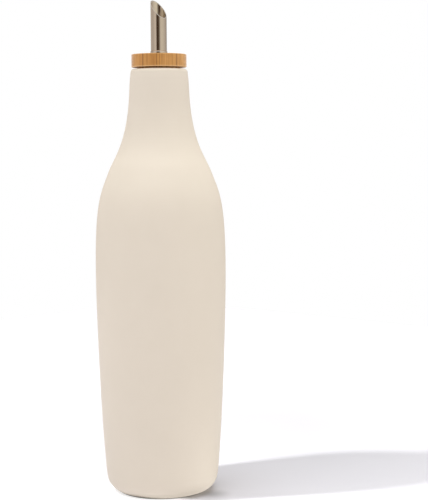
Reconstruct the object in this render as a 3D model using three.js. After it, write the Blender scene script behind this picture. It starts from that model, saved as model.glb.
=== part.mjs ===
// A ceramic oil dispenser: a tall cream bottle, a turned bamboo lid and a steel pouring spout.
// Millimetres, +Z up, with the origin at the centre of the foot. The spout's slanted mouth opens towards +X.
import * as THREE from "three";

// Bottle: foot
const footRadius = 24; // outer edge of the flat ring that it stands on
const footRingWidth = 5;
const footRecess = 1.5; // how far the underside is raised inside the ring
const footCornerRadius = 11.3;
const footWallLean = 7.6; // degrees outwards, where the wall leaves the foot's corner

// Bottle: belly, shoulder and neck
const bottleHeight = 267.5;
const bellyRadius = 41.1;
const bellyHeight = 142;
const shoulderRadius = 31.9; // a point on the slope between belly and neck
const shoulderHeight = 204.3;
const shoulderLean = 21.3; // degrees inwards
const neckHeight = 250; // where the straight part of the neck starts
const neckLean = 3.6; // degrees inwards
const lipRadius = 17.9; // at the top, before the edge is rounded
const lipRounding = 2.2;

// How far each end of a wall curve runs along its tangent
const footReach = 22;
const bellyReachDown = 34;
const bellyReachUp = 43;
const shoulderReachDown = 15.2;
const shoulderReachUp = 8.3;
const neckReach = 29;

// Lid
const lidRadius = 17.3;
const lidThickness = 8;
const lidSeatRadius = 13; // the turned step that stands on the bottle's top
const lidSeatHeight = 1;
const lidEdgeRounding = 0.4;

// Spout
const tubeRadius = 5;
const tubeWall = 0.5;
const tubeClearance = 0.15; // round the tube, in the lid's hole
const tubeFootGap = 0.3; // under the tube, above the bottle
const collarRadius = 5.3;
const collarHeight = 2;
const collarRounding = 0.25;
const spoutRise = 33.9; // from the lid's top to the spout's tip
const mouthSlope = 50; // degrees between the mouth and the level

// Facets
const turnSegments = 64;
const cornerSteps = 6;
const wallSteps = 8;
const edgeSteps = 3;

const seatLevel = bottleHeight;
const lidUnderside = seatLevel + lidSeatHeight;
const lidTop = lidUnderside + lidThickness;
const boreRadius = tubeRadius - tubeWall;
const radians = THREE.MathUtils.degToRad;
const mouthFall = Math.tan(radians(mouthSlope)); // drop of the mouth for each millimetre of +X
const mouthHeight = lidTop + spoutRise - tubeRadius * mouthFall; // on the tube's axis

const point = (radius, height) => new THREE.Vector2(radius, height);

// Unit vector up a wall that leans outwards by so many degrees.
const upWall = (lean) => point(Math.sin(radians(lean)), Math.cos(radians(lean)));

// A quarter turn or less of a circle, between two angles in degrees from straight out.
function arc(radius, height, rounding, from, to) {
  return new THREE.EllipseCurve(radius, height, rounding, rounding, radians(from), radians(to), to < from);
}

// A wall between two points, leaving and arriving along the given directions.
function wall(start, startDirection, startReach, end, endDirection, endReach) {
  return new THREE.CubicBezierCurve(
    start,
    start.clone().addScaledVector(startDirection, startReach),
    end.clone().addScaledVector(endDirection, -endReach),
    end,
  );
}

// Joins stretches end to end into one list of points. A stretch is a point, or a curve and its steps.
function outline(stretches) {
  return stretches.flatMap((s) => (s instanceof THREE.Vector2 ? [s] : s.curve.getPoints(s.steps)));
}

// Turns an outline, given as radius and height, round the Z axis.
function turned(points) {
  const apart = points.filter((p, i) => i === 0 || p.distanceTo(points[i - 1]) > 1e-6);
  return new THREE.LatheGeometry(apart, turnSegments).rotateX(Math.PI / 2);
}

function bottleGeometry() {
  const corner = arc(footRadius, footCornerRadius, footCornerRadius, -90, -footWallLean);
  const wallFoot = corner.getPoint(1);
  const belly = point(bellyRadius, bellyHeight);
  const shoulder = point(shoulderRadius, shoulderHeight);
  const neckRadius = lipRadius + (bottleHeight - neckHeight) * Math.tan(radians(neckLean));
  const neck = point(neckRadius, neckHeight);
  const lip = arc(lipRadius - lipRounding, bottleHeight - lipRounding, lipRounding, neckLean, 90);
  const ringInside = footRadius - footRingWidth;
  return turned(
    outline([
      point(0, footRecess),
      point(ringInside - footRecess, footRecess),
      point(ringInside, 0),
      { curve: corner, steps: cornerSteps },
      {
        curve: wall(wallFoot, upWall(footWallLean), footReach, belly, upWall(0), bellyReachDown),
        steps: wallSteps,
      },
      {
        curve: wall(belly, upWall(0), bellyReachUp, shoulder, upWall(-shoulderLean), shoulderReachDown),
        steps: wallSteps,
      },
      {
        curve: wall(shoulder, upWall(-shoulderLean), shoulderReachUp, neck, upWall(-neckLean), neckReach),
        steps: wallSteps,
      },
      { curve: lip, steps: cornerSteps },
      point(0, bottleHeight),
    ]),
  );
}

function lidGeometry() {
  const holeRadius = tubeRadius + tubeClearance;
  const edge = lidRadius - lidEdgeRounding;
  const lowerEdge = arc(edge, lidUnderside + lidEdgeRounding, lidEdgeRounding, -90, 0);
  const upperEdge = arc(edge, lidTop - lidEdgeRounding, lidEdgeRounding, 0, 90);
  return turned(
    outline([
      point(holeRadius, seatLevel),
      point(lidSeatRadius, seatLevel),
      point(lidSeatRadius, lidUnderside),
      { curve: lowerEdge, steps: edgeSteps },
      { curve: upperEdge, steps: edgeSteps },
      point(holeRadius, lidTop),
      point(holeRadius, seatLevel),
    ]),
  );
}

function spoutGeometry() {
  const collarTop = lidTop + collarHeight;
  const shoulder = arc(collarRadius - collarRounding, collarTop - collarRounding, collarRounding, 0, 90);
  const tubeFoot = seatLevel + tubeFootGap;
  const geometry = turned(
    outline([
      point(boreRadius, tubeFoot),
      point(tubeRadius, tubeFoot),
      point(tubeRadius, lidTop),
      point(collarRadius, lidTop),
      { curve: shoulder, steps: edgeSteps },
      point(tubeRadius, collarTop),
      point(tubeRadius, mouthHeight),
      point(boreRadius, mouthHeight),
      point(boreRadius, tubeFoot),
    ]),
  );
  // The level mouth becomes a slanted one: each of its corners drops with its distance along +X.
  const corners = geometry.getAttribute("position");
  for (let i = 0; i < corners.count; i++) {
    if (corners.getZ(i) > mouthHeight - 1e-3) corners.setZ(i, mouthHeight - corners.getX(i) * mouthFall);
  }
  geometry.computeVertexNormals();
  return geometry;
}

function piece(name, geometry, color, roughness, metalness) {
  const mesh = new THREE.Mesh(geometry, new THREE.MeshStandardMaterial({ color, roughness, metalness }));
  mesh.name = name;
  return mesh;
}

const dispenser = new THREE.Group();
dispenser.add(
  piece("bottle", bottleGeometry(), 0xe1d5c4, 0.55, 0),
  piece("lid", lidGeometry(), 0xc29358, 0.5, 0),
  piece("spout", spoutGeometry(), 0xb8aa96, 0.15, 1),
);

export default dispenser;
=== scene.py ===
"""A ceramic oil dispenser in a white studio: a cream glazed bottle, a bamboo lid and a steel pouring spout.

Each piece is turned from the rings of its CAD node, so it keeps that node's form and adds the finish.
"""

import math
from collections import namedtuple

import bpy
import numpy as np
from mathutils import Matrix, Vector


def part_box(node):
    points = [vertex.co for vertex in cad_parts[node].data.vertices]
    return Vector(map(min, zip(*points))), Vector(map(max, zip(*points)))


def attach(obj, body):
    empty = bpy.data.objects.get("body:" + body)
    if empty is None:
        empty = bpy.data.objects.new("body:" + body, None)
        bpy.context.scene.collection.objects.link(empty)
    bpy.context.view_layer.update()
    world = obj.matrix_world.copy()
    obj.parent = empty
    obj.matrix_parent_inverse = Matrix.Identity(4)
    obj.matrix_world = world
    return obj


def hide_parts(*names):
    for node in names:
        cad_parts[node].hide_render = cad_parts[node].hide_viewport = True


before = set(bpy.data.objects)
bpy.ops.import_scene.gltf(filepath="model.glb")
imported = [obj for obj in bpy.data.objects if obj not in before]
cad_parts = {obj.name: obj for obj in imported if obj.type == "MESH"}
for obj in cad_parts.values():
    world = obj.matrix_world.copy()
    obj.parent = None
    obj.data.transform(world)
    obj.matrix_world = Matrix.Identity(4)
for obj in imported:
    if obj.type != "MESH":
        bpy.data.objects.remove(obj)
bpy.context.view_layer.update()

MM = 0.001
TOUCH = 0.02 * MM  # nearer than this counts as the same place
DECIMALS = 6  # of a metre, in the places of vertices
TURN = 2 * math.pi
BLACK = (0, 0, 0, 1)
WHITE = (1, 1, 1, 1)

# Camera: where it stands, and how far it is turned from looking level at the bottle's axis
CAMERA_AZIMUTH = math.radians(45)  # the spout's mouth opens to the right and towards the camera
CAMERA_DISTANCE = 0.8859
CAMERA_HEIGHT = 0.2225
CAMERA_PITCH = math.radians(4.466)  # down
CAMERA_YAW = math.radians(2.186)  # to the right
CAMERA_ROLL = math.radians(-0.349)
FOCAL_LENGTH_MM = 100.9
SENSOR_MM = 36  # along the picture's long side

# Facets
BOTTLE_SEGMENTS = 192
LID_SEGMENTS = 192
SPOUT_SEGMENTS = 128
WALL_STEP = 4 * MM  # between rings on the long walls
LEAST_STEPS = 3  # between two CAD rings
ARC_STEPS = 6
SUPPORT = 0.3 * MM  # how near a ring follows each end of a flat stretch
LONG_STRETCH = 4 * SUPPORT  # a flat stretch has such rings if it is longer than this

# Edges that the finish rounds off
FOOT_RING_ROUNDING = 0.6 * MM
SEAT_ROUNDING = 0.2 * MM
HOLE_ROUNDING = 0.25 * MM
COLLAR_ROUNDING = 0.4 * MM
MOUTH_ROUNDING = 0.1 * MM
MOUTH_SUPPORT = 3 * MOUTH_ROUNDING  # how far below the mouth a ring keeps the tube's walls straight

# A tone that shows where a noise is high: from where on, where fully, and how strongly it then does
Grain = namedtuple("Grain", "tone start full strength")
NOISE_RANGE = (0.3, 0.7)  # what a noise mostly stays in

# Ceramic
GLAZE_TONES = ((0.706, 0.640, 0.534, 1), (0.731, 0.663, 0.555, 1))
GLAZE_CLOUDS = Grain((0.746, 0.682, 0.575, 1), 0.35, 0.75, 0.25)
GLAZE_ROUGHNESS = (0.46, 0.54)
PORE_RELIEF = 0.35  # of the pores in the glaze, against its waves
CLAY_TONES = ((0.60, 0.49, 0.37, 1), (0.72, 0.61, 0.48, 1))
CLAY_ROUGHNESS = 0.35  # on top of the glaze's
CLAY_RISE = 2 * MM  # how far up from the floor the clay is bare
CLAY_EDGE = 24.2 * MM  # from the axis, where the glaze starts
CLAY_EDGE_WANDER = 1.2 * MM
# Painted shade: a dark patch on the bottle's top under the spout's bore, its tone and reach
BORE_SHADE_TONE = (0.06, 0.05, 0.04, 1)
BORE_SHADE_SHARE = 1 / 3  # of the lid's radius, for the painted shade on the top under the spout's bore

# Bamboo: the strips that the lid is glued from, from left to right as the camera sees them
GLUE_LINES = (-10.0 * MM, -1.45 * MM, 10.9 * MM)
STRIP_TONES = (
    (0.52, 0.235, 0.058, 1),
    (0.50, 0.228, 0.05, 1),
    (0.54, 0.256, 0.057, 1),
    (0.65, 0.34, 0.098, 1),
)
GLUE_TONE = (0.24, 0.10, 0.025, 1)
GLUE_REACH = (0.12 * MM, 0.5 * MM)
GLUE_STRENGTH = 0.75
BROAD_GRAIN = Grain((0.62, 0.325, 0.096, 1), 0.35, 0.65, 0.5)
FINE_GRAIN = Grain((0.36, 0.148, 0.03, 1), 0.45, 0.75, 0.7)
PORE_GRAIN = Grain((0.30, 0.125, 0.03, 1), 0.55, 0.8, 0.35)
STREAK_TONE = (0.30, 0.125, 0.03, 1)
STREAKS = (  # darker growth lines: where, half as wide as, and how strong
    (-4 * MM, 2.4 * MM, 0.18),
    (0.35 * MM, 0.55 * MM, 0.7),
    (1.8 * MM, 0.7 * MM, 0.4),
    (4.7 * MM, 0.5 * MM, 0.25),
    (8.3 * MM, 0.7 * MM, 0.3),
    (12.9 * MM, 0.5 * MM, 0.3),
)
LONG_SIDE = (14.2 * MM, 16.6 * MM)  # from the axis, where the rim runs along the strips
RIM_DEPTH = 0.6 * MM
RIM_HIGHLIGHT_TONE = (0.85, 0.56, 0.26, 1)  # painted highlight: a paler tone where the rim's rounded edges catch light
LOW_HIGHLIGHT = (0.2 * MM, 0.8 * MM)  # above the underside
LOW_HIGHLIGHT_STRENGTH = 0.6
HIGH_HIGHLIGHT = (0.1 * MM, 0.6 * MM)  # below the top
HIGH_HIGHLIGHT_STRENGTH = 0.3
BAMBOO_ROUGHNESS = (0.42, 0.56)
PORE_DEPTH = 0.3  # against the relief of the fibres
BARE_LACQUER = 0.2  # what is left of the lacquer on the underside

# Steel
STEEL_TONES = ((0.60, 0.54, 0.475, 1), (0.65, 0.585, 0.52, 1))
STEEL_ROUGHNESS = (0.06, 0.13)
LINE_ROUGHNESS = 0.04
BORE_TONE = (0.69, 0.63, 0.555, 1)
BORE_ROUGHNESS = 0.03
DULL_DEPTH = 5 * MM  # how far below the mouth's low side the bore has lost its polish
DULLNESS = 0.3

# Lamps. Here and below, places and directions are as the camera sees them: right, away and up.
LAMP_PLACE = (-0.36, -0.115, 0.66)
LAMP_RADIUS = 0.023
LAMP_POWER = 24.5
OVERHEAD_STRENGTH = 2.86
OVERHEAD_SPREAD = math.radians(65)
OVERHEAD_LEAN = math.radians(2.5)  # to the left

# A round patch on the floor: its strength, its middle, and where from there its fade starts and ends
Patch = namedtuple("Patch", "strength middle reach")

# Floor, as the camera sees it: painted shade that darkens it towards the back and weakens on the right,
# shade where the bottle stands, and a glow that keeps the floor in front of the foot white
FLOOR_SIZE = 1.5
FLOOR_TONES = ((0.528, 0.524, 0.551, 1), (0.538, 0.534, 0.561, 1))
# Painted shade that darkens the floor towards the back: how strong, where it sets in going away, where it
# weakens going right
BACK_SHADE = 0.17
BACK_SHADE_AWAY = (-0.01, 0.09)
BACK_SHADE_RIGHT = (0.11, 0.22)
BACK_SHADE_LEFT_OVER = 0.4  # of its strength, on the right
SHADE_TONE = (0.1, 0.1, 0.1, 1)
CONTACT_SHADE = Patch(0.75, (0, 0, 0), (26 * MM, 29 * MM))
SIDE_SHADE = Patch(0.42, (0.031, -0.016, 0), (0, 15 * MM))
FRONT_GLOW = 0.7
FRONT_REACH = (26 * MM, 28.2 * MM)  # from the axis, where that glow sets in
FRONT_SIDE = (-0.65, -0.76, 0)
FRONT_TURN = (6 * MM, 18 * MM)  # where it sets in towards its side

# Floor, as all other light finds it: a duller tone, and glows for the light between floor and bottle
FLOOR_BOUNCED = (0.448, 0.437, 0.459, 1)
UNDER_BOUNCE = Patch(0.16, (0, -0.012, 0), (30 * MM, 55 * MM))
SIDE_BOUNCE = Patch(0.7, (0.066, -0.03, 0), (20 * MM, 50 * MM))
RING_BOUNCE = Patch(0.45, (0, 0, 0), (28 * MM, 38 * MM))
RING_SIDE = (0.68, -0.73, 0)  # the ring glows on this side only
RING_TURN = (10 * MM, 22 * MM)

# Floor, for both: a glow far from the bottle
FAR_GLOW = 0.22
FAR_REACH = (0.22, 0.45)

# The room that the bottle stands in: the tones that light it, and those that its polished surfaces mirror.
# Walls run round by their azimuth in degrees, to the right of the way to the camera. Both rooms have a dark
# doorway beside the camera, and the mirrored one has a second doorway behind the bottle.
DARK = (0.075, 0.045, 0.025, 1)
ROOM_LIGHT = {
    "walls": (
        (-180, (1.02, 0.923, 0.80, 1)),
        (-113, (1.02, 0.923, 0.80, 1)),
        (-60, (0.625, 0.515, 0.41, 1)),
        (-38, (0.625, 0.515, 0.41, 1)),
        (-30, DARK),
        (-6, DARK),
        (24, (0.91, 0.82, 0.705, 1)),
        (60, (0.91, 0.82, 0.705, 1)),
        (100, (1.15, 1.11, 0.985, 1)),
        (150, (1.15, 1.11, 0.985, 1)),
        (180, (1.02, 0.923, 0.80, 1)),
    ),
    "upper left": (0.25, 0.255, 0.275, 1),
    "upper right": (0.79, 0.745, 0.69, 1),
    "ceiling": (0.9, 0.9, 0.91, 1),
    "ceiling behind": (0.55, 0.54, 0.53, 1),
    "below": (1.06, 1.04, 1.1, 1),
}
ROOM_MIRRORED = {
    "walls": (
        (-180, DARK),
        (-174, DARK),
        (-160, (0.66, 0.59, 0.52, 1)),
        (-120, (0.66, 0.59, 0.52, 1)),
        (-92, (0.60, 0.535, 0.47, 1)),
        (-55, (0.79, 0.70, 0.617, 1)),
        (-38, (0.80, 0.71, 0.625, 1)),
        (-30, DARK),
        (-6, DARK),
        (8, (0.20, 0.165, 0.13, 1)),
        (24, (0.75, 0.685, 0.57, 1)),
        (32, (0.81, 0.74, 0.615, 1)),
        (55, (0.81, 0.74, 0.615, 1)),
        (88, (0.70, 0.635, 0.54, 1)),
        (112, (0.56, 0.504, 0.44, 1)),
        (150, (0.56, 0.504, 0.44, 1)),
        (157, DARK),
        (180, DARK),
    ),
    "upper left": (0.4, 0.37, 0.33, 1),
    "upper right": (0.70, 0.66, 0.605, 1),
    "ceiling": (1.6, 1.6, 1.6, 1),
    "ceiling behind": (0.7, 0.69, 0.68, 1),
}
# Where one tone turns into the next, in the parts of a direction of length 1: up, right or away
UPPER_RISE = (0.15, 0.3)
CEILING_RISE = (0.45, 0.7)
UPPER_SPREAD = (-0.7, 0.7)
CEILING_AWAY = (0.0, 0.45)


def unit(vector):
    return vector / np.linalg.norm(vector)


def view_direction(right, away, up):
    """A direction or place given as the camera sees it, in the object's own axes."""
    turn = Matrix.Rotation(CAMERA_AZIMUTH, 3, "Z")
    return turn @ Vector((right, away, up))


def new_object(name, data):
    """A new object in the scene."""
    made = bpy.data.objects.new(name, data)
    bpy.context.scene.collection.objects.link(made)
    return made


# Shapes


def node_points(node):
    """The vertices of a CAD node, in metres."""
    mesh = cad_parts[node].data
    flat = np.empty(len(mesh.vertices) * 3)
    mesh.vertices.foreach_get("co", flat)
    return flat.reshape(-1, 3)


def rings(node):
    """Radius and height of each ring of vertices of a turned CAD node, lowest first, then narrowest."""
    x, y, z = node_points(node).T
    found = []
    for ring in np.unique(np.column_stack([z, np.hypot(x, y)]).round(DECIMALS), axis=0):
        if all(np.abs(ring - other).max() > TOUCH for other in found):
            found.append(ring)
    return np.array(found)[:, ::-1]


def smooth_curve(points, start_direction, end_direction):
    """Points along a curve of continuous curvature that runs through the given ones."""
    gaps = np.linalg.norm(np.diff(points, axis=0), axis=1)
    steps = np.diff(points, axis=0) / gaps[:, None]
    count = len(points)
    system = np.eye(count)
    slopes = np.vstack([start_direction, np.zeros((count - 2, 2)), end_direction])
    for i in range(1, count - 1):
        before, after = gaps[i - 1], gaps[i]
        system[i, i - 1 : i + 2] = after, 2 * (before + after), before
        slopes[i] = 3 * (after * steps[i - 1] + before * steps[i])
    slopes = np.linalg.solve(system, slopes)
    curve = [points[:1]]
    for i, gap in enumerate(gaps):
        pieces = max(LEAST_STEPS, math.ceil(gap / WALL_STEP))
        t = np.linspace(0, 1, pieces + 1)[1:, None]
        curve.append(
            (1 + 2 * t) * (1 - t) ** 2 * points[i]
            + t * (1 - t) ** 2 * gap * slopes[i]
            + t**2 * (3 - 2 * t) * points[i + 1]
            - t**2 * (1 - t) * gap * slopes[i + 1]
        )
    return np.vstack(curve)


def rounded(corners):
    """An outline through corners of (radius, height, rounding). A rounding of 0 leaves a corner sharp."""
    outline = []
    for i, (radius, height, rounding) in enumerate(corners):
        corner = np.array((radius, height))
        if not rounding:
            outline.append(corner)
            continue
        back = unit(np.array(corners[i - 1][:2]) - corner)
        onward = unit(np.array(corners[(i + 1) % len(corners)][:2]) - corner)
        half = math.acos(back @ onward) / 2
        centre = corner + unit(back + onward) * rounding / math.sin(half)
        start = corner + back * rounding / math.tan(half) - centre
        end = corner + onward * rounding / math.tan(half) - centre
        sweep = math.pi - 2 * half
        for t in np.linspace(0, 1, ARC_STEPS + 1):
            spoke = (start * math.sin((1 - t) * sweep) + end * math.sin(t * sweep)) / math.sin(sweep)
            outline.append(centre + spoke)
    return np.array(outline)


def supported(outline, closed=False):
    """The outline with a ring close to each end of its long straight stretches, so that they shade flat."""
    result = []
    ends = np.roll(outline, -1, axis=0) if closed else outline[1:]
    for start, end in zip(outline, ends):
        result.append(start)
        length = np.linalg.norm(end - start)
        if length > LONG_STRETCH:
            step = (end - start) / length * SUPPORT
            result.extend([start + step, end - step])
    if not closed:
        result.append(outline[-1])
    return np.array(result)


def circle(radius, height, segments):
    """A level loop of points round the axis."""
    angles = np.linspace(0, TURN, segments, endpoint=False)
    return np.column_stack([radius * np.cos(angles), radius * np.sin(angles), np.full(segments, height)])


def lofted(name, loops, closed=False):
    """A smooth mesh over loops of points that run round the axis. A loop of one point closes an end."""
    starts = np.cumsum([0] + [len(loop) for loop in loops])
    faces = []
    following = list(range(1, len(loops))) + ([0] if closed else [])
    for lower, upper in enumerate(following):
        low, high = starts[lower], starts[upper]
        low_count, high_count = len(loops[lower]), len(loops[upper])
        count = max(low_count, high_count)
        for i in range(count):
            j = (i + 1) % count
            if low_count == 1:
                faces.append((low, high + j, high + i))
            elif high_count == 1:
                faces.append((low + i, low + j, high))
            else:
                faces.append((low + i, low + j, high + j, high + i))
    mesh = bpy.data.meshes.new(name)
    mesh.from_pydata(np.vstack(loops).tolist(), [], faces)
    mesh.shade_smooth()
    mesh.validate()
    return new_object(name, mesh)


def turned(name, outline, segments, closed=False):
    """A mesh turned round the Z axis from an outline of (radius, height) points."""
    loops = [
        circle(radius, height, segments) if radius > TOUCH else np.array([[0, 0, height]])
        for radius, height in supported(outline, closed)
    ]
    return lofted(name, loops, closed)


# Pieces


def make_bottle():
    """A foot ring, one smooth wall from foot to lip, and the closed top that the lid stands on."""
    found = rings("bottle")
    radius, height = found.T
    ring_inside, foot_edge = radius[height < TOUCH]
    inside_ring = (radius > TOUCH) & (radius < ring_inside - TOUCH)
    recess_edge, recess = found[inside_ring & (height < height.max() / 2)][0]
    on_wall = (radius > foot_edge - TOUCH) | (height > recess + TOUCH)
    wall = found[on_wall & (radius > TOUCH)]
    foot = rounded(
        [
            (0, recess, 0),
            (recess_edge, recess, FOOT_RING_ROUNDING),
            (ring_inside, 0, FOOT_RING_ROUNDING),
            (foot_edge, 0, 0),
        ]
    )
    side = smooth_curve(wall, np.array((1, 0)), np.array((-1, 0)))
    side[:, 0] = np.minimum(side[:, 0], radius.max())
    outline = np.vstack([foot, side[1:], [(0, height.max())]])
    return turned("bottle_glazed", outline, BOTTLE_SEGMENTS)


def lid_underside():
    """The height of the lid's underside, above the step that it stands on."""
    radius, height = rings("lid").T
    seat = radius[height < height.min() + TOUCH].max()
    return height[(abs(radius - seat) < TOUCH) & (height > height.min() + TOUCH)].min()


def make_lid():
    """A turned disc with softened edges, the step that it stands on, and the hole for the spout."""
    radius, height = rings("lid").T
    hole, edge = radius.min(), radius.max()
    seat_level, top = height.min(), height.max()
    seat = radius[height < seat_level + TOUCH].max()
    underside = lid_underside()
    edge_rounding = edge - radius[height > top - TOUCH].max()
    outline = rounded(
        [
            (hole, seat_level, 0),
            (seat, seat_level, SEAT_ROUNDING),
            (seat, underside, SEAT_ROUNDING),
            (edge, underside, edge_rounding),
            (edge, top, edge_rounding),
            (hole, top, HOLE_ROUNDING),
        ]
    )
    return turned("lid_bamboo", outline, LID_SEGMENTS, closed=True)


def mouth_low():
    """The lowest height of the spout's slanted mouth, which is at the tube's +X side."""
    points = node_points("spout")
    tube = np.hypot(points[:, 0], points[:, 1])[points[:, 2] < points[:, 2].min() + TOUCH].max()
    low_side = (abs(points[:, 0] - tube) < TOUCH) & (abs(points[:, 1]) < TOUCH)
    return points[low_side, 2].max()


def make_spout():
    """A drawn tube with a slanted mouth whose edges are polished round, and a collar on the lid."""
    radius, height = rings("spout").T
    bore, collar = radius.min(), radius.max()
    foot, tip = height.min(), height.max()
    tube = radius[height < foot + TOUCH].max()
    collar_foot = height[abs(radius - collar) < TOUCH].min()
    collar_top = height[(abs(radius - tube) < TOUCH) & (height > collar_foot + TOUCH)].min()
    fall = (tip - mouth_low()) / (2 * tube)

    def slanted(at_radius, drop=0.0):
        """A loop on a wall of the tube, some way under the mouth's plane."""
        loop = circle(at_radius, tip - tube * fall - drop, SPOUT_SEGMENTS)
        loop[:, 2] -= fall * loop[:, 0]
        return loop

    def bent(start, corner, end):
        """Loops that round a corner between two others."""
        steps = np.linspace(0, 1, ARC_STEPS + 1)
        return [(1 - t) ** 2 * start + 2 * t * (1 - t) * corner + t**2 * end for t in steps]

    below = rounded(
        [
            (bore, foot, 0),
            (tube, foot, 0),
            (tube, collar_foot, 0),
            (collar, collar_foot, 0),
            (collar, collar_top, COLLAR_ROUNDING),
            (tube, collar_top, 0),
        ]
    )
    loops = [circle(r, z, SPOUT_SEGMENTS) for r, z in supported(below)]
    loops.append(circle(tube, collar_top + SUPPORT, SPOUT_SEGMENTS))
    loops.append(slanted(tube, MOUTH_SUPPORT))
    loops += bent(slanted(tube, MOUTH_ROUNDING), slanted(tube), slanted(tube - MOUTH_ROUNDING))
    loops += bent(slanted(bore + MOUTH_ROUNDING), slanted(bore), slanted(bore, MOUTH_ROUNDING))
    loops.append(slanted(bore, MOUTH_SUPPORT))
    loops.append(circle(bore, foot + SUPPORT, SPOUT_SEGMENTS))
    return lofted("spout_steel", loops, closed=True)


# Shader nodes


def set_inputs(tree, node, inputs):
    """Sets a node's inputs. A value is a socket to link from, or a number, a vector or a colour."""
    for key, value in inputs.items():
        if isinstance(value, bpy.types.NodeSocket):
            tree.links.new(value, node.inputs[key])
        else:
            node.inputs[key].default_value = value


def add(tree, kind, inputs=None, **properties):
    """Adds a node and sets its properties and inputs."""
    made = tree.nodes.new("ShaderNode" + kind)
    for key, value in properties.items():
        setattr(made, key, value)
    set_inputs(tree, made, inputs or {})
    return made


def calc(tree, operation, *values):
    """The result of a Math node."""
    return add(tree, "Math", dict(enumerate(values)), operation=operation).outputs[0]


def measure(tree, operation, *vectors):
    """The number that a Vector Math node gives."""
    return add(tree, "VectorMath", dict(enumerate(vectors)), operation=operation).outputs["Value"]


def apart(tree, first, second):
    """How far two numbers are apart."""
    return calc(tree, "ABSOLUTE", calc(tree, "SUBTRACT", first, second))


def span(tree, value, low, high, to_low=0.0, to_high=1.0, smooth=False):
    """A value moved from one range to another, and kept inside it."""
    kind = "SMOOTHSTEP" if smooth else "LINEAR"
    inputs = {"Value": value, "From Min": low, "From Max": high, "To Min": to_low, "To Max": to_high}
    return add(tree, "MapRange", inputs, interpolation_type=kind).outputs[0]


def mixed(tree, factor, first, second):
    """A mix of two colours."""
    return add(tree, "Mix", {0: factor, 6: first, 7: second}, data_type="RGBA").outputs[2]


def mixed_number(tree, factor, first, second):
    """A mix of two numbers."""
    return add(tree, "Mix", {0: factor, 2: first, 3: second}, data_type="FLOAT").outputs[0]


def ramp(tree, value, stops):
    """A colour that runs through those of the stops, as the value runs through their places."""
    first, last = stops[0][0], stops[-1][0]
    made = add(tree, "ValToRGB", {0: span(tree, value, first, last)})
    elements = made.color_ramp.elements
    elements[0].color = stops[0][1]
    elements[1].color = stops[-1][1]
    for at, color in stops[1:-1]:
        elements.new((at - first) / (last - first)).color = color
    return made.outputs[0]


def noise(tree, vector, per_metre, detail=2.0, roughness=0.5):
    """A noise of so many swells to the metre."""
    inputs = {"Vector": vector, "Scale": per_metre, "Detail": detail, "Roughness": roughness}
    return add(tree, "TexNoise", inputs).outputs[0]


def grained(tree, level, color, grain):
    """A colour with a grain's tone over it where a noise is high."""
    share = span(tree, level, grain.start, grain.full, 0, grain.strength)
    return mixed(tree, share, color, grain.tone)


def scaled(tree, vector, *scale):
    """A vector with each of its three parts scaled, which draws out a noise where the scale is small."""
    return add(tree, "Mapping", {"Vector": vector, "Scale": scale}).outputs[0]


def bumped(tree, relief, strength, depth):
    """A normal that follows a relief."""
    inputs = {"Height": relief, "Strength": strength, "Distance": depth}
    return add(tree, "Bump", inputs).outputs["Normal"]


def place(tree):
    """A point in the part's own metres, its distance from the axis, and its height."""
    vector = add(tree, "TexCoord").outputs["Object"]
    level = add(tree, "VectorMath", {0: vector, 1: (1, 1, 0)}, operation="MULTIPLY").outputs["Vector"]
    height = add(tree, "SeparateXYZ", {0: vector}).outputs["Z"]
    return vector, measure(tree, "LENGTH", level), height


def as_seen(tree, vector):
    """A vector of the object's own axes, turned to right, away and up as the camera sees them."""
    inputs = {"Vector": vector, "Angle": -CAMERA_AZIMUTH}
    return add(tree, "VectorRotate", inputs, rotation_type="Z_AXIS").outputs[0]


# Materials


def new_material(name):
    """A material, its node tree and its surface shader."""
    material = bpy.data.materials.new(name)
    material.use_nodes = True
    tree = material.node_tree
    return material, tree, tree.nodes["Principled BSDF"]


def ceramic():
    """Cream glaze with a satin sheen, bare clay on the foot ring and painted shade on the top under the
    spout's bore.
    """
    material, tree, shader = new_material("ceramic")
    vector, radius, height = place(tree)
    drift = noise(tree, vector, per_metre=18)
    clouds = noise(tree, vector, per_metre=90, detail=3)
    glaze = mixed(tree, span(tree, drift, *NOISE_RANGE), *GLAZE_TONES)
    glaze = grained(tree, clouds, glaze, GLAZE_CLOUDS)
    clay = mixed(tree, noise(tree, vector, per_metre=700, detail=3), *CLAY_TONES)
    clay_edge = calc(tree, "ADD", CLAY_EDGE, calc(tree, "MULTIPLY", clouds, CLAY_EDGE_WANDER))
    on_floor = calc(tree, "LESS_THAN", height, CLAY_RISE)
    bare = calc(tree, "MULTIPLY", on_floor, calc(tree, "LESS_THAN", radius, clay_edge))
    color = mixed(tree, bare, glaze, clay)
    # Painted shade: a dark patch on the closed top under the spout's bore, where the bore is in shade
    on_top = calc(tree, "GREATER_THAN", height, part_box("bottle")[1].z - MM)
    under_bore_shade = calc(tree, "LESS_THAN", radius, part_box("lid")[1].x * BORE_SHADE_SHARE)
    color = mixed(tree, calc(tree, "MULTIPLY", on_top, under_bore_shade), color, BORE_SHADE_TONE)
    pores = calc(tree, "MULTIPLY", noise(tree, vector, per_metre=2600), PORE_RELIEF)
    relief = calc(tree, "ADD", pores, noise(tree, vector, per_metre=260))
    roughness = span(tree, clouds, *NOISE_RANGE, *GLAZE_ROUGHNESS)
    roughness = calc(tree, "ADD", roughness, calc(tree, "MULTIPLY", bare, CLAY_ROUGHNESS))
    set_inputs(
        tree,
        shader,
        {
            "Base Color": color,
            "Roughness": roughness,
            "IOR": 1.5,
            "Specular IOR Level": 0.4,
            "Normal": bumped(tree, relief, strength=0.06, depth=0.15 * MM),
        },
    )
    return material


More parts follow.
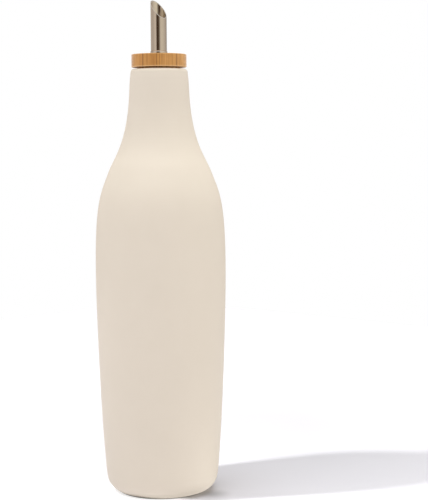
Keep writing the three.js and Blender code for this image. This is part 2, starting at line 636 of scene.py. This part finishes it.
def bamboo(name, lacquer=1.0):
    """Glued strips of bamboo whose fibres run along the strips, under a share of a thin lacquer, with
    painted highlights on the rim's edges.
    """
    material, tree, shader = new_material(name)
    vector, radius, height = place(tree)
    vector = as_seen(tree, vector)
    across = add(tree, "SeparateXYZ", {0: vector}).outputs["X"]
    layers = scaled(tree, vector, 1, 0.02, 0.04)
    broad = noise(tree, layers, per_metre=240)
    end_fibres = noise(tree, layers, per_metre=900, detail=3, roughness=0.6)
    lengthwise = scaled(tree, vector, 0.15, 0.03, 1)
    long_fibres = noise(tree, lengthwise, per_metre=1500, detail=3, roughness=0.6)
    long_side = span(tree, calc(tree, "ABSOLUTE", across), *LONG_SIDE, smooth=True)
    fibres = mixed_number(tree, long_side, end_fibres, long_fibres)
    pores = noise(tree, scaled(tree, vector, 1, 0.1, 1), per_metre=2400)
    color = STRIP_TONES[0]
    from_glue = apart(tree, across, GLUE_LINES[0])
    for line, tone in zip(GLUE_LINES, STRIP_TONES[1:]):
        color = mixed(tree, calc(tree, "GREATER_THAN", across, line), color, tone)
        from_glue = calc(tree, "MINIMUM", from_glue, apart(tree, across, line))
    color = grained(tree, broad, color, BROAD_GRAIN)
    color = grained(tree, fibres, color, FINE_GRAIN)
    color = grained(tree, pores, color, PORE_GRAIN)
    for line, half_width, strength in STREAKS:
        streak = span(tree, apart(tree, across, line), 0, half_width, strength, 0, smooth=True)
        color = mixed(tree, streak, color, STREAK_TONE)
    glue = span(tree, from_glue, *GLUE_REACH, GLUE_STRENGTH, 0)
    color = mixed(tree, glue, color, GLUE_TONE)
    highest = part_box("lid")[1]
    # Painted highlight: a paler tone on the rim's lower and upper edges, where their rounding catches light
    on_rim = calc(tree, "GREATER_THAN", radius, highest.x - RIM_DEPTH)
    above_underside = calc(tree, "SUBTRACT", height, lid_underside())
    below_top = calc(tree, "SUBTRACT", highest.z, height)
    low_highlight = span(tree, above_underside, *LOW_HIGHLIGHT, LOW_HIGHLIGHT_STRENGTH, 0)
    high_highlight = span(tree, below_top, *HIGH_HIGHLIGHT, HIGH_HIGHLIGHT_STRENGTH, 0)
    edges = calc(tree, "MULTIPLY", on_rim, calc(tree, "ADD", low_highlight, high_highlight))
    color = mixed(tree, edges, color, RIM_HIGHLIGHT_TONE)
    sunk = calc(tree, "ADD", calc(tree, "MULTIPLY", pores, PORE_DEPTH), glue)
    relief = calc(tree, "SUBTRACT", fibres, sunk)
    set_inputs(
        tree,
        shader,
        {
            "Base Color": color,
            "Roughness": span(tree, fibres, *NOISE_RANGE, *BAMBOO_ROUGHNESS),
            "Specular IOR Level": 0.35 * lacquer,
            "Coat Weight": 0.3 * lacquer,
            "Coat Roughness": 0.2,
            "Sheen Weight": 0.6 * lacquer,
            "Sheen Roughness": 0.3,
            "Normal": bumped(tree, relief, strength=0.2, depth=0.12 * MM),
        },
    )
    return material


def steel():
    """Polished stainless steel with the faint lengthwise lines of a drawn tube, and a duller bore."""
    material, tree, shader = new_material("steel")
    vector, radius, height = place(tree)
    in_bore = calc(tree, "LESS_THAN", radius, rings("spout")[:, 0].min() + TOUCH)
    lines = noise(tree, scaled(tree, vector, 1, 1, 0.02), per_metre=3000, detail=3)
    smudges = noise(tree, vector, per_metre=260, detail=3)
    color = mixed(tree, smudges, *STEEL_TONES)
    color = mixed(tree, in_bore, color, BORE_TONE)
    roughness = span(tree, smudges, *NOISE_RANGE, *STEEL_ROUGHNESS)
    roughness = calc(tree, "ADD", roughness, calc(tree, "MULTIPLY", lines, LINE_ROUGHNESS))
    roughness = calc(tree, "ADD", roughness, calc(tree, "MULTIPLY", in_bore, BORE_ROUGHNESS))
    low = mouth_low()
    dull = calc(tree, "MULTIPLY", in_bore, span(tree, height, low - DULL_DEPTH, low, DULLNESS, 0))
    set_inputs(
        tree,
        shader,
        {
            "Base Color": color,
            "Metallic": calc(tree, "SUBTRACT", 1.0, dull),
            "Roughness": roughness,
            "Normal": bumped(tree, lines, strength=0.04, depth=0.05 * MM),
        },
    )
    return material


def floor_white():
    """A matt white studio floor, which is one thing to the camera and another to all other light."""
    material, tree, shader = new_material("floor_white")
    vector, distance, _ = place(tree)

    def towards(side):
        """How far a point lies from the axis towards a side."""
        return measure(tree, "DOT_PRODUCT", vector, view_direction(*side))

    def strength(patch):
        """How strong a patch is at a point."""
        offset = measure(tree, "DISTANCE", vector, view_direction(*patch.middle))
        return span(tree, offset, *patch.reach, patch.strength, 0, smooth=True)

    # Painted shade: the floor's tone darkens towards the back, and less so on the right
    back_shade_away = span(tree, towards((0, 1, 0)), *BACK_SHADE_AWAY, 0, BACK_SHADE)
    back_shade_right = span(tree, towards((1, 0, 0)), *BACK_SHADE_RIGHT, 1, BACK_SHADE_LEFT_OVER)
    color = mixed(tree, noise(tree, vector, per_metre=30), *FLOOR_TONES)
    color = mixed(tree, calc(tree, "MULTIPLY", back_shade_away, back_shade_right), color, BLACK)
    shade = calc(tree, "MAXIMUM", strength(CONTACT_SHADE), strength(SIDE_SHADE))
    color = mixed(tree, shade, color, SHADE_TONE)
    front = span(tree, distance, *FRONT_REACH, 0, FRONT_GLOW, smooth=True)
    front_side = span(tree, towards(FRONT_SIDE), *FRONT_TURN, smooth=True)
    seen_glow = calc(tree, "MULTIPLY", front, front_side)
    ring_side = span(tree, towards(RING_SIDE), *RING_TURN, smooth=True)
    bounced = calc(tree, "MULTIPLY", strength(RING_BOUNCE), ring_side)
    for patch in (SIDE_BOUNCE, UNDER_BOUNCE):
        bounced = calc(tree, "ADD", bounced, strength(patch))
    seen = add(tree, "LightPath").outputs["Is Camera Ray"]
    far_glow = span(tree, distance, *FAR_REACH, 0, FAR_GLOW, smooth=True)
    set_inputs(
        tree,
        shader,
        {
            "Base Color": mixed(tree, seen, FLOOR_BOUNCED, color),
            "Roughness": 0.9,
            "Specular IOR Level": 0.1,
            "Emission Color": WHITE,
            "Emission Strength": calc(tree, "ADD", far_glow, mixed_number(tree, seen, bounced, seen_glow)),
        },
    )
    return material


# Studio


def make_floor():
    half = FLOOR_SIZE / 2
    corners = [(-half, -half, 0), (half, -half, 0), (half, half, 0), (-half, half, 0)]
    mesh = bpy.data.meshes.new("floor")
    mesh.from_pydata(corners, [], [(0, 1, 2, 3)])
    mesh.materials.append(floor_white())
    floor = new_object("floor", mesh)
    return floor


def room(tree, direction, tones):
    """The room's tone in a direction given as the camera sees it."""
    right, away, up = add(tree, "SeparateXYZ", {0: direction}).outputs
    azimuth = calc(tree, "ARCTAN2", right, calc(tree, "MULTIPLY", away, -1.0))
    walls = ramp(tree, calc(tree, "MULTIPLY", azimuth, math.degrees(1)), tones["walls"])
    upper = mixed(tree, span(tree, right, *UPPER_SPREAD), tones["upper left"], tones["upper right"])
    walls = mixed(tree, span(tree, up, *UPPER_RISE, smooth=True), walls, upper)
    behind = span(tree, away, *CEILING_AWAY, smooth=True)
    ceiling = mixed(tree, behind, tones["ceiling"], tones["ceiling behind"])
    shown = mixed(tree, span(tree, up, *CEILING_RISE, smooth=True), walls, ceiling)
    if "below" in tones:
        shown = mixed(tree, calc(tree, "LESS_THAN", up, 0), shown, tones["below"])
    return shown


def make_world():
    """The room. Straight behind the bottle the picture is plain white."""
    world = bpy.data.worlds.new("studio")
    bpy.context.scene.world = world
    world.use_nodes = True
    tree = world.node_tree
    tree.nodes.clear()
    direction = as_seen(tree, add(tree, "TexCoord").outputs["Generated"])
    ray = add(tree, "LightPath").outputs
    lit = room(tree, direction, ROOM_LIGHT)
    mirrored = room(tree, direction, ROOM_MIRRORED)
    shown = mixed(tree, ray["Is Glossy Ray"], lit, mirrored)
    shown = mixed(tree, ray["Is Camera Ray"], shown, WHITE)
    background = add(tree, "Background", {"Color": shown, "Strength": 1.0})
    add(tree, "OutputWorld", {"Surface": background.outputs[0]})


def make_lamp(floor):
    """The lamp that casts the shadow. It lights only the floor, so the bottle stays softly lit."""
    lamp = bpy.data.lights.new("lamp", "POINT")
    lamp.energy = LAMP_POWER
    lamp.shadow_soft_size = LAMP_RADIUS
    holder = new_object("lamp", lamp)
    holder.location = view_direction(*LAMP_PLACE)
    lit = bpy.data.collections.new("lit_by_lamp")
    lit.objects.link(floor)
    holder.light_linking.receiver_collection = lit


def make_overhead():
    """A wide soft light from above, which the steel doesn't mirror."""
    lamp = bpy.data.lights.new("overhead", "SUN")
    lamp.energy = OVERHEAD_STRENGTH
    lamp.angle = OVERHEAD_SPREAD
    holder = new_object("overhead", lamp)
    holder.visible_glossy = False
    shine = view_direction(math.sin(OVERHEAD_LEAN), 0, -math.cos(OVERHEAD_LEAN))
    holder.rotation_euler = shine.to_track_quat("-Z", "Y").to_euler()


def make_camera():
    camera = bpy.data.cameras.new("camera")
    camera.lens = FOCAL_LENGTH_MM
    camera.sensor_width = SENSOR_MM
    holder = new_object("camera", camera)
    level = math.cos(CAMERA_PITCH)
    ahead = (level * math.sin(CAMERA_YAW), level * math.cos(CAMERA_YAW), -math.sin(CAMERA_PITCH))
    forward = view_direction(*ahead)
    across = view_direction(math.cos(CAMERA_YAW), -math.sin(CAMERA_YAW), 0)
    upright = across.cross(forward)
    right = across * math.cos(CAMERA_ROLL) + upright * math.sin(CAMERA_ROLL)
    up = upright * math.cos(CAMERA_ROLL) - across * math.sin(CAMERA_ROLL)
    turn = Matrix((right, up, -forward)).transposed().to_4x4()
    holder.matrix_world = Matrix.Translation(view_direction(0, -CAMERA_DISTANCE, CAMERA_HEIGHT)) @ turn
    bpy.context.scene.camera = holder


def finish_piece(piece, node, material):
    """Puts a piece in the place of its CAD node, with its material."""
    piece.data.materials.append(material)
    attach(piece, "root")
    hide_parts(node)


def bare_underside(lid):
    """Gives the faces of the lid's underside and its step a bamboo with little lacquer."""
    lid.data.materials.append(bamboo("bamboo_bare", BARE_LACQUER))
    bare = len(lid.data.materials) - 1
    underside = lid_underside()
    for face in lid.data.polygons:
        if face.center.z < underside + TOUCH:
            face.material_index = bare


bpy.context.scene.view_settings.view_transform = "Standard"
make_camera()
make_world()
make_overhead()
make_lamp(make_floor())
finish_piece(make_bottle(), "bottle", ceramic())
lid = make_lid()
finish_piece(lid, "lid", bamboo("bamboo"))
bare_underside(lid)
finish_piece(make_spout(), "spout", steel())
